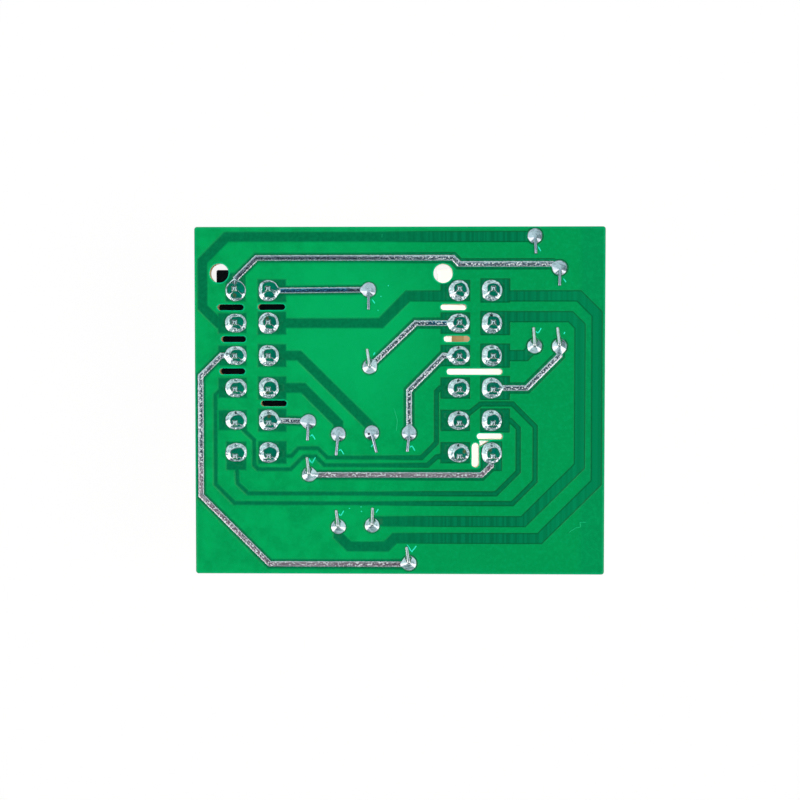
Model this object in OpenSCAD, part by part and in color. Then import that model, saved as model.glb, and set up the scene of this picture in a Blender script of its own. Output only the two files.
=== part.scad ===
// Adapter circuit board: a single-sided board that crosses one 2 x 6 pin header over to another.
// It lies on the mouths of its two headers, with the soldered copper side up.
// Origin: middle of the board in X and Y, and the plane of the header mouths in Z.

/* [Board] */
// Board, left to right
board_w = 52.4; // [52:0.1:66]
// Board, front to back
board_d = 44.45; // [44:0.05:56]
// Thickness of the laminate
board_t = 1.6; // [0.8:0.1:2.4]
// Radius of the board's corners
corner_r = 0.35; // [0.1:0.05:1]
// Thickness of the copper
copper_t = 0.07; // [0.03:0.01:0.14]
// Thickness of the solder mask over the copper
mask_t = 0.03; // [0.02:0.01:0.06]

/* [Headers] */
// Height of a header's housing, mouth to board
header_h = 12.6; // [9:0.1:16]
// Housing wall outside the middle of the first and last pin, left to right
housing_side = 2.77; // [2.4:0.01:3]
// Housing wall outside the middle of the first and last pin, front to back
housing_end = 2.55; // [2.2:0.01:2.8]
// Thickness of the housing's base, which holds the pins
housing_base = 3.2; // [2:0.1:5]
// Width of each square cavity in the housing
cavity_w = 3.2; // [2.6:0.05:3.4]
// Corner radius of the housing
housing_r = 0.25; // [0.1:0.05:0.5]
// Left board edge to the middle of the left header's first column
header_inset_x = 5.27; // [5.2:0.01:5.6]
// Back board edge to the middle of both headers' first row
header_inset_y = 8.125; // [8:0.005:8.4]
// Left header to right header
header_spacing = 28.51; // [28.4:0.01:30]

/* [Pins] */
// Pitch of the board's pin holes between the two columns
hole_pitch_x = 4.2; // [4.15:0.01:4.25]
// Pitch of the board's pin holes between rows
hole_pitch_y = 4.14; // [4.1:0.01:4.2]
// How much longer the headers' own pitch is, left to right
pitch_excess_x = 0.05; // [0:0.01:0.08]
// How much longer the headers' own pitch is, front to back
pitch_excess_y = 0.11; // [0:0.01:0.12]
// Sideways shift of the headers in their holes, left to right
pin_shift_x = 0.1; // [-0.12:0.01:0.12]
// Sideways shift of the headers in their holes, front to back
pin_shift_y = -0.1; // [-0.12:0.01:0.12]
// Side of a pin's square tail
pin_w = 0.64; // [0.5:0.01:0.8]
// Side of a pin's square contact, inside the housing
contact_w = 1; // [0.8:0.05:1.4]
// Length of pin that stands out of the board
pin_stand_out = 1.9; // [1.6:0.1:2.6]
// Distance from a contact's tip back to the mouth of its cavity
contact_recess = 1.6; // [0.5:0.1:4]
// Height of the chamfer on each end of a pin
pin_chamfer = 0.22; // [0.1:0.01:0.3]
// Least gap between a pin and the wall of its hole in the board
pin_clearance = 0.075; // [0.02:0.005:0.12]

/* [Jumper wires] */
// Diameter of the tinned wire
wire_d = 0.5; // [0.4:0.02:0.6]
// Bend radius on the middle of the wire
wire_bend_r = 0.4; // [0.35:0.01:0.6]
// Diameter clearance of a wire in its hole
wire_clearance = 0.3; // [0.1:0.05:0.5]
// Gap between a wire that crosses under the board and the laminate
wire_gap = 0.04; // [0.02:0.01:0.1]
// Angle through which a soldered lead is clinched over, to lie just above the mask
clinch_angle = 98; // [85:1:100]

/* [Solder] */
// Radius of a header pin's solder joint
joint_r = 1.4; // [1.3:0.01:1.5]
// Half height of the first column's joints, which are cut flat front and back
joint_half_y = 1.23; // [1.1:0.01:1.3]
// Half width towards the left of the second column's joints
joint_half_x = 1.22; // [1.1:0.01:1.3]
// Height of the solder up each pin
joint_h = 1.35; // [1:0.05:1.5]
// Height of a joint's rim, and of the solder on the exposed tracks
bead_h = 0.16; // [0.08:0.01:0.24]
// Radius of a jumper's solder joint
jumper_joint_r = 0.95; // [0.85:0.01:1.05]
// Height of a jumper's solder joint
jumper_joint_h = 0.5; // [0.4:0.01:0.7]

/* [Copper] */
// Width of the power tracks
wide_track = 1.35; // [1:0.05:1.5]
// Width of the signal tracks
thin_track = 0.6; // [0.4:0.02:0.7]
// Width of the strip that is left free of mask along a tinned power track
exposed_strip = 0.76; // [0.6:0.02:0.9]
// Length of a header pad outwards from its hole
pad_long = 2.3; // [2:0.05:2.4]
// Length of a header pad inwards from its hole
pad_short = 1.42; // [1.42:0.01:1.6]
// Height of the first column's pads
pad_h_first = 2.65; // [2.5:0.05:2.8]
// Height of the second column's pads
pad_h_second = 3; // [2.8:0.05:3.1]
// Radius of a jumper's copper pad
jumper_pad_r = 1.1; // [1:0.05:1.2]

/* [Slots and holes] */
// Width of the isolation slots between pins
slot_w = 0.82; // [0.6:0.01:0.9]
// Width of the one isolation slot that runs front to back
cross_slot_w = 1; // [0.8:0.05:1.05]
// Diameter of the two peg holes
peg_hole_d = 2.5; // [2:0.05:2.6]

/* [Hidden] */
ROWS = 6;
COLUMNS = 2;
LEFT = 0;
RIGHT = 1;
COLOUR_LAMINATE = [0.72, 0.62, 0.47];
COLOUR_MASK = [0, 0.56, 0.28];
COLOUR_COPPER = [0.75, 0.45, 0.28];
COLOUR_SOLDER = [0.8, 0.81, 0.83];
COLOUR_TIN = [0.86, 0.86, 0.87];
COLOUR_BLACK = [0.05, 0.06, 0.08];
COLOUR_NATURAL = [0.95, 0.94, 0.9];
overcut = 0.1;
wire_r = wire_d / 2;

// Heights
socket_h = header_h - housing_base;
board_z = header_h;
copper_z = board_z + board_t;
mask_z = copper_z + copper_t;
top_z = mask_z + mask_t;
pin_top_z = copper_z + pin_stand_out;

// Edges of the board
left_x = -board_w / 2;
right_x = board_w / 2;
front_y = -board_d / 2;
back_y = board_d / 2;

// Holes for the header pins: each reaches past the corner of the pin that sits furthest off its middle
function hole_x(side, column) =
    left_x + header_inset_x + side * header_spacing + column * hole_pitch_x;
function hole_y(row) = back_y - header_inset_y - row * hole_pitch_y;
function hole(side, column, row) = [hole_x(side, column), hole_y(row)];
function off_x(column) = pin_shift_x + (column - (COLUMNS - 1) / 2) * pitch_excess_x;
function off_y(row) = pin_shift_y - (row - (ROWS - 1) / 2) * pitch_excess_y;
function pin_at(side, column, row) = hole(side, column, row) + [off_x(column), off_y(row)];
furthest_off = [abs(pin_shift_x) + (COLUMNS - 1) / 2 * pitch_excess_x,
                abs(pin_shift_y) + (ROWS - 1) / 2 * pitch_excess_y];
pin_hole_r = norm(furthest_off + [pin_w, pin_w] / 2) + pin_clearance;

// Named places that the tracks are routed by: columns, rows and lanes
lx1 = hole_x(LEFT, 0);
lx2 = hole_x(LEFT, 1);
rx1 = hole_x(RIGHT, 0);
rx2 = hole_x(RIGHT, 1);
row1 = hole_y(0);
row2 = hole_y(1);
row3 = hole_y(2);
row4 = hole_y(3);
row5 = hole_y(4);
row6 = hole_y(5);

// Jumpers: middle of the back pad, middle of the front pad, then where each clinched lead points,
// measured from its own pad
JUMPERS = [
    [[lx2 + 12.84, row1 + 0.12], [lx2 + 12.94, row3 - 1.42], [-0.03, -2.4], [-0.3, 2.15]],
    [[lx2 + 5.11, row5 - 0.15], [lx2 + 5.18, row6 - 2.82], [-0.12, -2.3], [-0.26, 2.1]],
    [[lx2 + 8.91, row5 - 1.76], [lx2 + 8.91, front_y + 6.07], [-0.26, -2.6], [-0.26, 2.05]],
    [[lx2 + 13.2, row5 - 1.57], [lx2 + 13.23, front_y + 6.28], [0.6, -2.4], [0.08, 2.15]],
    [[rx1 - 6.32, row5 - 1.62], [rx1 - 6.33, front_y + 1.4], [-0.22, -2.25], [-0.3, 2]],
    [[rx2 + 5.45, back_y - 1.19], [rx2 + 5.45, row3 + 1.2], [0.12, -2.1], [-0.13, 2.27]],
    [[rx2 + 8.61, back_y - 5.24], [rx2 + 8.62, row3 + 1.2], [-0.03, -2.13], [-0.26, 2.27]],
];
function back_pad(jumper) = JUMPERS[jumper][0];
function front_pad(jumper) = JUMPERS[jumper][1];
A = 0; B = 1; C = 2; D = 3; E = 4; F = 5; G = 6;

// Lanes shared by several bends
back_lane = back_y - 3.95;
back_lane_low = back_lane - 0.79;
far_lane = back_y - 1.27;
left_lane_tinned = left_x + 0.72;
left_lane_wide = left_x + 1.02;
left_lane_thin = left_x + 2.61;
right_lane_outer = right_x - 1.04;
right_lane_inner = right_x - 3.2;
front_lane_tinned = front_y + 1.26;
front_lane_outer = front_y + 4.62;
front_lane_inner = front_y + 6.79;
front_lane_hook = front_y + 3.54;
near_lane_1 = row6 - 0.65;
near_lane_2 = row6 - 1.62;
near_lane_tinned = row6 - 2.87;
near_lane_3 = row6 - 5.27;
near_lane_4 = row6 - 6.52;
header_lane = rx1 - 2.83;
beside_lane_1 = rx2 + 3.41;
beside_lane_2 = rx2 + 5.57;

// Tracks: name, width, then the route. A route's point is [x, y] or [x, y, chamfer], where the
// corner is cut off at 45 degrees that far along both of its legs.
TINNED = [
    ["exposed_track_1", [hole(LEFT, 0, 0), [lx1 + 0.08, back_lane, 2.6], [rx1 - 0.75, back_lane],
        [rx1 + 0.04, back_lane_low], [back_pad(G)[0] - 0.9, back_lane_low], back_pad(G)]],
    ["exposed_track_2", [hole(LEFT, 1, 0), back_pad(A)]],
    ["exposed_track_3", [hole(LEFT, 0, 2), [left_lane_tinned, row3, 2.65],
        [left_lane_tinned, front_lane_tinned, 8.8], [front_pad(E)[0], front_lane_tinned]]],
    ["exposed_track_4", [hole(LEFT, 1, 4), back_pad(B)]],
    ["exposed_track_5", [hole(RIGHT, 0, 1), [rx1 - 5.5, row2], front_pad(A)]],
    ["exposed_track_6", [hole(RIGHT, 0, 2), [back_pad(E)[0] - 0.05, row3, 4.45], back_pad(E)]],
    ["exposed_track_7", [hole(RIGHT, 1, 3), [front_pad(G)[0], row4, 4.15], front_pad(G)]],
    ["exposed_track_8", [hole(RIGHT, 1, 5), [rx2 - 0.1, near_lane_tinned, 1.2],
        [front_pad(B)[0], near_lane_tinned]]],
];
WIDE = [
    ["wide_track_1", [hole(LEFT, 0, 1), [left_lane_wide, row2, 2.05], [left_lane_wide, far_lane, 3.1],
        [back_pad(F)[0], far_lane]]],
    ["wide_track_2", [hole(LEFT, 1, 1), [rx1 - 9.95, row2], [rx1 - 6.5, row1 - 0.69], [rx1, row1 - 0.69]]],
    ["wide_track_3", [hole(LEFT, 1, 2), [back_pad(D)[0] - 0.1, row3, 9.2], back_pad(D)]],
    ["wide_track_4", [hole(LEFT, 1, 3), [back_pad(C)[0], row4, 4.5], back_pad(C)]],
    ["wide_track_5", [[rx2, row1 - 0.69], [right_lane_outer, row1 - 0.69, 2.3],
        [right_lane_outer, front_lane_outer, 7.2], [front_pad(D)[0] + 2.9, front_lane_outer],
        [front_pad(D)[0] + 1.82, front_lane_hook], [front_pad(C)[0], front_lane_hook, 1.37],
        front_pad(C)]],
    ["wide_track_6", [[rx2, row2 + 0.81], [right_lane_inner, row2 + 0.81, 1.2],
        [right_lane_inner, front_lane_inner, 7.15], [front_pad(D)[0], front_lane_inner]]],
    ["wide_track_7", [hole(RIGHT, 1, 2), [rx2 + 4.33, row3], front_pad(F)]],
];
THIN = [
    ["thin_track_1", [[lx1, row4 - 0.45], [left_lane_thin, row4 - 0.45, 0.45],
        [left_lane_thin, near_lane_4, 2.4], [beside_lane_2, near_lane_4, 2.88],
        [beside_lane_2, row5 + 2.11, 2.9], [rx1 + 0.5, row5 + 2.11, 2.32], hole(RIGHT, 0, 4)]],
    ["thin_track_2", [hole(LEFT, 0, 5), [lx1 + 0.2, near_lane_3, 1.3], [beside_lane_1, near_lane_3, 2.85],
        [beside_lane_1, row5, 1], hole(RIGHT, 1, 4)]],
    ["thin_track_3", [hole(LEFT, 0, 4), [lx1 + 0.85, row5 - 1.16], [lx1 + 2.3, row5 - 2.53],
        [lx1 + 2.3, row6 - 2.15, 0.5], [lx2 + 2.79, row6 - 2.15], [lx2 + 4.43, row6 - 0.51],
        [lx2 + 6, row6 - 0.51], [lx2 + 7.11, near_lane_2], [header_lane - 1.16, near_lane_2],
        [header_lane, row6 - 0.55], hole(RIGHT, 0, 5)]],
    ["thin_track_4", [[lx2, row6 - 0.46], [lx2 + 2.87, row6 - 0.46], [lx2 + 3.8, row6 + 0.55],
        [lx2 + 6.28, row6 + 0.55], [lx2 + 7.48, near_lane_1], [header_lane, near_lane_1, 1.93],
        [header_lane, row4, 0.46], hole(RIGHT, 0, 3)]],
];

// Pads whose long end points back (+Y) or front (-Y) in place of sideways
TURNED = [[LEFT, 0, 0, 1], [LEFT, 0, 5, -1], [RIGHT, 1, 5, -1]];
function turned(side, column, row) =
    [for (pad = TURNED) if (pad[0] == side && pad[1] == column && pad[2] == row) pad[3]];

// Header pads that each track starts from and ends at: [side, column, row]
TINNED_PADS = [[[LEFT, 0, 0]], [[LEFT, 1, 0]], [[LEFT, 0, 2]], [[LEFT, 1, 4]],
    [[RIGHT, 0, 1]], [[RIGHT, 0, 2]], [[RIGHT, 1, 3]], [[RIGHT, 1, 5]]];
WIDE_PADS = [[[LEFT, 0, 1]], [[LEFT, 1, 1], [RIGHT, 0, 0]], [[LEFT, 1, 2]], [[LEFT, 1, 3]],
    [[RIGHT, 1, 0]], [[RIGHT, 1, 1]], [[RIGHT, 1, 2]]];
THIN_PADS = [[[LEFT, 0, 3], [RIGHT, 0, 4]], [[LEFT, 0, 5], [RIGHT, 1, 4]],
    [[LEFT, 0, 4], [RIGHT, 0, 5]], [[LEFT, 1, 5], [RIGHT, 0, 3]]];

// Jumper pads that each track ends at
TINNED_ENDS = [[back_pad(G)], [back_pad(A)], [front_pad(E)], [back_pad(B)],
    [front_pad(A)], [back_pad(E)], [front_pad(G)], [front_pad(B)]];
WIDE_ENDS = [[back_pad(F)], [], [back_pad(D)], [back_pad(C)],
    [front_pad(C)], [front_pad(D)], [front_pad(F)]];

// Isolation slots: middle and length. The last one runs front to back.
SLOTS = [
    [[lx1 - 0.67, row1 - 2.12], 3.42], [[lx2 + 0.37, row1 - 2.08], 3.56],
    [[lx1 - 0.31, row2 - 2.04], 3.25], [[lx1 - 0.47, row3 - 2.02], 3.36],
    [[lx2 + 0.64, row4 - 1.99], 3.38], [[rx1 - 0.67, row1 - 2.1], 3.34],
    [[(rx1 + rx2) / 2 - 0.07, row3 - 2.05], 7.16], [[rx2 - 0.21, row5 - 2.05], 3.35],
];
CROSS_SLOT = [[(rx1 + rx2) / 2 + 0.05, row6 - 0.33], 3.2];

// One slot is cut through at its left end only: to the right a step of laminate was left in it
part_slot_at = [rx1 - 0.26, row2 - 2];
part_slot_length = 3.36;
part_slot_open = 1.06;
part_slot_step = 2.6;
deep_step = 0.8;
shallow_step = 0.45;

// A small three-cornered cut beside the last pin, and the two peg holes
CORNER_CUT = [[rx2 - 1.58, row6 + 1.57], [rx2 - 0.1, row6 + 1.57], [rx2 - 1.5, row6 + 0.72]];
PEG_HOLES = [[lx1 - 2.11, row1 + 2.24], [rx1 - 2.01, row1 + 2.19]];

function pin_name(side, column, row) =
    str(side == LEFT ? "left" : "right", "_pin_", column * ROWS + row + 1);
function jumper_name(jumper) = str("jumper_wire_", jumper + 1);

$fn = 32;

// Points of a route with each chamfered corner cut off
function xy(point) = [point[0], point[1]];
function unit(v) = v / norm(v);
function chamfered(route) = [
    for (i = [0 : len(route) - 1])
        let (p = xy(route[i]), cut = len(route[i]) == 3 ? route[i][2] : 0)
        each cut == 0 ? [p] :
            [p + cut * unit(xy(route[i - 1]) - p), p + cut * unit(xy(route[i + 1]) - p)]];

// Points that run beside a line of points, at a distance to its left, with mitred bends
function left_of(v) = [-v[1], v[0]];
function beside(line, distance) = [
    for (i = [0 : len(line) - 1])
        let (before = left_of(unit(i > 0 ? line[i] - line[i - 1] : line[1] - line[0])),
             after = left_of(unit(i < len(line) - 1 ? line[i + 1] - line[i] : line[i] - line[i - 1])))
        line[i] + distance * (before + after) / (1 + before * after)];
function reversed(list) = [for (i = [len(list) - 1 : -1 : 0]) list[i]];
function strip(route, width) =
    let (line = chamfered(route))
    concat(beside(line, width / 2), reversed(beside(line, -width / 2)));

module rounded_block(size, r) {
    for (x = [-1, 1], y = [-1, 1])
        translate([x * (size[0] / 2 - r), y * (size[1] / 2 - r), 0]) cylinder(r = r, h = size[2]);
    translate([-size[0] / 2, r - size[1] / 2, 0]) cube([size[0], size[1] - 2 * r, size[2]]);
    translate([r - size[0] / 2, -size[1] / 2, 0]) cube([size[0] - 2 * r, size[1], size[2]]);
}

module slot(at, length, width, z, h) {
    run = length - width;
    translate([at[0], at[1], z]) {
        for (end = [-1, 1]) translate([end * run / 2, 0, 0]) cylinder(d = width, h = h);
        translate([-run / 2, -width / 2, 0]) cube([run, width, h]);
    }
}

module cross_slot(z, h) {
    translate(concat(CROSS_SLOT[0], [0])) rotate(90) slot([0, 0], CROSS_SLOT[1], cross_slot_w, z, h);
}

// The partly cut slot's full outline, from z upwards
module part_slot(z, h) {
    slot(part_slot_at, part_slot_length, slot_w, z, h);
}

// Everything that is open right through the board, from z upwards
module through_cuts(z, h) {
    for (side = [LEFT, RIGHT], column = [0 : COLUMNS - 1], row = [0 : ROWS - 1])
        translate(concat(hole(side, column, row), [z])) cylinder(r = pin_hole_r, h = h);
    for (jumper = JUMPERS, end = [0, 1])
        translate(concat(jumper[end], [z])) cylinder(d = wire_d + wire_clearance, h = h);
    for (peg = PEG_HOLES) translate(concat(peg, [z])) cylinder(d = peg_hole_d, h = h);
    for (cut = SLOTS) slot(cut[0], cut[1], slot_w, z, h);
    cross_slot(z, h);
    translate([0, 0, z]) linear_extrude(h) polygon(CORNER_CUT);
}

module board() {
    left_end = part_slot_at[0] - part_slot_length / 2;
    color(COLOUR_LAMINATE) difference() {
        translate([0, 0, board_z]) rounded_block([board_w, board_d, board_t], corner_r);
        through_cuts(board_z - overcut, board_t + 2 * overcut);
        intersection() {
            part_slot(board_z - overcut, board_t + 2 * overcut);
            translate([left_end, part_slot_at[1] - slot_w, board_z - overcut])
                cube([part_slot_open, 2 * slot_w, board_t + 2 * overcut]);
        }
        intersection() {
            part_slot(copper_z - deep_step, board_t);
            translate([left_end, part_slot_at[1] - slot_w, copper_z - deep_step])
                cube([part_slot_step, 2 * slot_w, board_t]);
        }
        part_slot(copper_z - shallow_step, board_t);
    }
}

// A header pin's pad, from z upwards: long side outwards, or back or front if it is turned
module header_pad(side, column, row, z, h) {
    way = turned(side, column, row);
    outwards = column == 0 ? -1 : 1;
    pad_h = column == 0 ? pad_h_first : pad_h_second;
    translate(concat(hole(side, column, row), [z]))
        if (len(way) == 0)
            translate([outwards < 0 ? -pad_long : -pad_short, -pad_h / 2, 0])
                cube([pad_long + pad_short, pad_h, h]);
        else
            translate([-pad_h_first / 2, way[0] > 0 ? -pad_short : -pad_long, 0])
                cube([pad_h_first, pad_long + pad_short, h]);
}

// One track with its pads, from z upwards and without its holes
module track_shape(route, width, header_pads, jumper_pads, z, h) {
    translate([0, 0, z]) linear_extrude(h) polygon(strip(route, width));
    for (pad = header_pads) header_pad(pad[0], pad[1], pad[2], z, h);
    for (pad = jumper_pads) translate(concat(pad, [z])) cylinder(r = jumper_pad_r, h = h);
}

module tinned_shape(i, z, h) {
    track_shape(TINNED[i][1], wide_track, TINNED_PADS[i], TINNED_ENDS[i], z, h);
}

module wide_shape(i, z, h) {
    track_shape(WIDE[i][1], wide_track, WIDE_PADS[i], WIDE_ENDS[i], z, h);
}

module thin_shape(i, z, h) {
    track_shape(THIN[i][1], thin_track, THIN_PADS[i], [], z, h);
}

// A track as copper: the shape given, less every hole that it meets
module copper_track() {
    color(COLOUR_COPPER) difference() {
        union() children();
        through_cuts(copper_z - overcut, copper_t + 2 * overcut);
    }
}

// Outline of a header pin's solder joint, from z upwards: a round with flats where its pad ends
module joint_outline(side, column, row, z, h) {
    flats = column == 0
        ? [[-2 * joint_r, -joint_half_y], [4 * joint_r, 2 * joint_half_y]]
        : [[-joint_half_x, -2 * joint_r], [4 * joint_r, 4 * joint_r]];
    translate(concat(hole(side, column, row), [z])) intersection() {
        cylinder(r = joint_r, h = h);
        translate([flats[0][0], flats[0][1], -overcut]) cube([flats[1][0], flats[1][1], h + 2 * overcut]);
    }
}

module jumper_joint_outline(at, z, h) {
    translate(concat(at, [z])) cylinder(r = jumper_joint_r, h = h);
}

// The bare strips along the tinned tracks, from z upwards, without their ends' joints
module bare_strips(z, h) {
    difference() {
        for (track = TINNED)
            translate([0, 0, z]) linear_extrude(h) polygon(strip(track[1], exposed_strip));
        all_joint_outlines(z - overcut, h + 2 * overcut);
    }
}

module all_joint_outlines(z, h) {
    for (side = [LEFT, RIGHT], column = [0 : COLUMNS - 1], row = [0 : ROWS - 1])
        joint_outline(side, column, row, z, h);
    for (jumper = JUMPERS, end = [0, 1]) jumper_joint_outline(jumper[end], z, h);
}

// The film fills the space between tracks and covers their top, and is open where there is solder
module solder_mask() {
    film_t = top_z - copper_z;
    color(COLOUR_MASK) difference() {
        translate([0, 0, copper_z]) rounded_block([board_w, board_d, film_t], corner_r);
        for (i = [0 : len(TINNED) - 1]) tinned_shape(i, copper_z - overcut, copper_t + overcut);
        for (i = [0 : len(WIDE) - 1]) wide_shape(i, copper_z - overcut, copper_t + overcut);
        for (i = [0 : len(THIN) - 1]) thin_shape(i, copper_z - overcut, copper_t + overcut);
        through_cuts(copper_z - overcut, film_t + 2 * overcut);
        part_slot(copper_z - overcut, film_t + 2 * overcut);
        all_joint_outlines(copper_z - overcut, film_t + 2 * overcut);
        for (track = TINNED)
            translate([0, 0, copper_z - overcut])
                linear_extrude(film_t + 2 * overcut) polygon(strip(track[1], exposed_strip));
    }
}

module track_tinning() {
    color(COLOUR_SOLDER) bare_strips(mask_z, bead_h);
}

// Half of a pin's outline, as half width against height: contact, base, tail and both chamfers
PIN_PROFILE = [
    [0, contact_recess], [contact_w / 2 - pin_chamfer, contact_recess],
    [contact_w / 2, contact_recess + 2 * pin_chamfer], [contact_w / 2, socket_h],
    [pin_w / 2, socket_h], [pin_w / 2, pin_top_z - pin_chamfer],
    [pin_w / 2 - 0.6 * pin_chamfer, pin_top_z], [0, pin_top_z],
];

module square_pin() {
    outline = concat(PIN_PROFILE, [for (p = reversed(PIN_PROFILE)) if (p[0] > 0) [-p[0], p[1]]]);
    intersection() {
        rotate([90, 0, 0]) translate([0, 0, -contact_w]) linear_extrude(2 * contact_w) polygon(outline);
        rotate([90, 0, 90]) translate([0, 0, -contact_w]) linear_extrude(2 * contact_w) polygon(outline);
    }
}

module pin(side, column, row) {
    color(COLOUR_TIN) translate(concat(pin_at(side, column, row), [0])) square_pin();
}

// The block that both pieces of a header's housing are cut from
module header_block(side, z, h) {
    middle = (pin_at(side, 0, 0) + pin_at(side, COLUMNS - 1, ROWS - 1)) / 2;
    span = pin_at(side, COLUMNS - 1, 0) - pin_at(side, 0, ROWS - 1);
    translate(concat(middle, [z]))
        rounded_block([span[0] + 2 * housing_side, span[1] + 2 * housing_end, h], housing_r);
}

// The base carries the pins' square tails
module header_base(side) {
    difference() {
        header_block(side, socket_h, housing_base);
        for (column = [0 : COLUMNS - 1], row = [0 : ROWS - 1])
            translate(concat(pin_at(side, column, row) - [pin_w, pin_w] / 2, [socket_h - overcut]))
                cube([pin_w, pin_w, housing_base + 2 * overcut]);
    }
}

// The walls around the twelve cavities that a plug goes into
module header_sockets(side) {
    difference() {
        header_block(side, 0, socket_h);
        for (column = [0 : COLUMNS - 1], row = [0 : ROWS - 1])
            translate(concat(pin_at(side, column, row) - [cavity_w, cavity_w] / 2, [-overcut]))
                cube([cavity_w, cavity_w, socket_h + 2 * overcut]);
    }
}

module left_header_base() {
    color(COLOUR_BLACK) header_base(LEFT);
}

module left_header_sockets() {
    color(COLOUR_BLACK) header_sockets(LEFT);
}

module right_header_base() {
    color(COLOUR_NATURAL) header_base(RIGHT);
}

module right_header_sockets() {
    color(COLOUR_NATURAL) header_sockets(RIGHT);
}

// A joint is a low skirt on the pad with a cone that leans to its pin
module header_joint(side, column, row) {
    skirt_h = 0.42;
    cone_r = 1;
    collar = 0.14;
    difference() {
        intersection() {
            union() {
                translate(concat(hole(side, column, row), [mask_z])) rotate_extrude()
                    polygon([[0, 0], [joint_r, 0], [joint_r, bead_h], [cone_r, skirt_h], [0, skirt_h]]);
                translate(concat(pin_at(side, column, row), [mask_z + bead_h]))
                    cylinder(r1 = cone_r, r2 = pin_w / 2 + collar, h = joint_h - bead_h);
            }
            joint_outline(side, column, row, mask_z - overcut, joint_h + 2 * overcut);
        }
        translate(concat(pin_at(side, column, row) - [pin_w, pin_w] / 2, [copper_z]))
            cube([pin_w, pin_w, pin_stand_out]);
    }
}

module header_solder(side) {
    color(COLOUR_SOLDER)
        for (column = [0 : COLUMNS - 1], row = [0 : ROWS - 1]) header_joint(side, column, row);
}

// Jumper wire: rings along its middle line. A stop on the line is [place, direction, side], where side
// is level and square to the upright plane that the wire bends in.
WIRE_SIDES = 8;
BEND_STEPS = 4;
crossing_z = board_z - wire_r - wire_gap;
clinch_start_z = mask_z + jumper_joint_h;
function bend_angles(total) = [for (i = [0 : BEND_STEPS]) total * i / BEND_STEPS];
function upright(at, way, out, z) = concat(at + out * way, [z]);

// From the upright part of a lead to its tip, leaning over towards way
function lead_line(at, towards) =
    let (way = unit(towards), side = concat(left_of(way), [0]),
         tip = wire_bend_r * (1 - cos(clinch_angle)) + (norm(towards) - wire_bend_r) * sin(clinch_angle),
         rise = wire_bend_r * sin(clinch_angle) + (norm(towards) - wire_bend_r) * cos(clinch_angle))
    concat(
        [for (a = bend_angles(clinch_angle))
            [upright(at, way, wire_bend_r * (1 - cos(a)), clinch_start_z + wire_bend_r * sin(a)),
             concat(sin(a) * way, [cos(a)]), side]],
        [[upright(at, way, tip, clinch_start_z + rise),
          concat(sin(clinch_angle) * way, [cos(clinch_angle)]), side]]);

// From under the board up into a hole, when coming along way
function elbow_line(at, way) = [
    for (a = bend_angles(90))
        [upright(at, way, -wire_bend_r * (1 - sin(a)), crossing_z + wire_bend_r * (1 - cos(a))),
         concat(cos(a) * way, [sin(a)]), concat(left_of(way), [0])]];
function turned_back(line) = [for (stop = reversed(line)) [stop[0], -stop[1], -stop[2]]];
function wire_line(jumper) =
    let (back = back_pad(jumper), front = front_pad(jumper), way = unit(front - back))
    concat(turned_back(lead_line(back, JUMPERS[jumper][2])), turned_back(elbow_line(back, -way)),
        elbow_line(front, way), lead_line(front, JUMPERS[jumper][3]));

// A tube along a line of stops, closed at both ends
module tube(line, r) {
    last = (len(line) - 1) * WIRE_SIDES;
    rings = [for (stop = line, i = [0 : WIRE_SIDES - 1]) let (a = 360 * i / WIRE_SIDES)
        stop[0] + r * (cos(a) * stop[2] + sin(a) * cross(stop[2], stop[1]))];
    walls = [for (ring = [0 : len(line) - 2], i = [0 : WIRE_SIDES - 1])
        let (here = ring * WIRE_SIDES, next = (i + 1) % WIRE_SIDES)
        each [[here + i, here + next, here + WIRE_SIDES + i],
              [here + next, here + WIRE_SIDES + next, here + WIRE_SIDES + i]]];
    polyhedron(rings, concat(walls,
        [[for (i = [WIRE_SIDES - 1 : -1 : 0]) i], [for (i = [0 : WIRE_SIDES - 1]) last + i]]));
}

module jumper_wire(jumper) {
    color(COLOUR_TIN) tube(wire_line(jumper), wire_r);
}

// A jumper's joint is a dome over its pad, with its lead upright in the middle
module jumper_joint(at) {
    steps = 5;
    translate(concat(at, [mask_z])) difference() {
        rotate_extrude() polygon(concat(
            [[0, 0], [jumper_joint_r, 0]],
            [for (i = [0 : steps]) let (a = 90 * i / steps)
                [jumper_joint_r * cos(a), bead_h + (jumper_joint_h - bead_h) * sin(a)]]));
        translate([0, 0, -overcut]) cylinder(r = wire_r, h = jumper_joint_h + 2 * overcut);
    }
}

module jumper_solder() {
    color(COLOUR_SOLDER) for (jumper = JUMPERS, end = [0, 1]) jumper_joint(jumper[end]);
}

board();
solder_mask();
left_header_base();
left_header_sockets();
right_header_base();
right_header_sockets();
header_solder(LEFT);  // left_header_solder
header_solder(RIGHT);  // right_header_solder
jumper_solder();
track_tinning();
for (i = [0 : len(TINNED) - 1])
    copper_track() tinned_shape(i, copper_z, copper_t);
for (i = [0 : len(WIDE) - 1])
    copper_track() wide_shape(i, copper_z, copper_t);
for (i = [0 : len(THIN) - 1])
    copper_track() thin_shape(i, copper_z, copper_t);
for (side = [LEFT, RIGHT], column = [0 : COLUMNS - 1], row = [0 : ROWS - 1])
    pin(side, column, row);
for (jumper = [A : G])
    jumper_wire(jumper);
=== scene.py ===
# %% [markdown]
# # The adapter circuit board, solder side up
# The real object is a small single-sided board: tan laminate, copper tracks, green lacquer over
# both, and two-row pin headers whose tails come up through the board into cones of solder.
# The CAD frame already gives every size and place. This notebook dresses it: it loads the frame,
# keeps its plain solids where their shape is right, and puts modelled metal and lacquer where the
# real surface has a shape of its own. Lengths are in millimetres until a mesh is made.

# %% Frame
import math
import random

import bpy
import numpy as np
from mathutils import Matrix, Vector, noise
from mathutils.geometry import delaunay_2d_cdt


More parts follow.
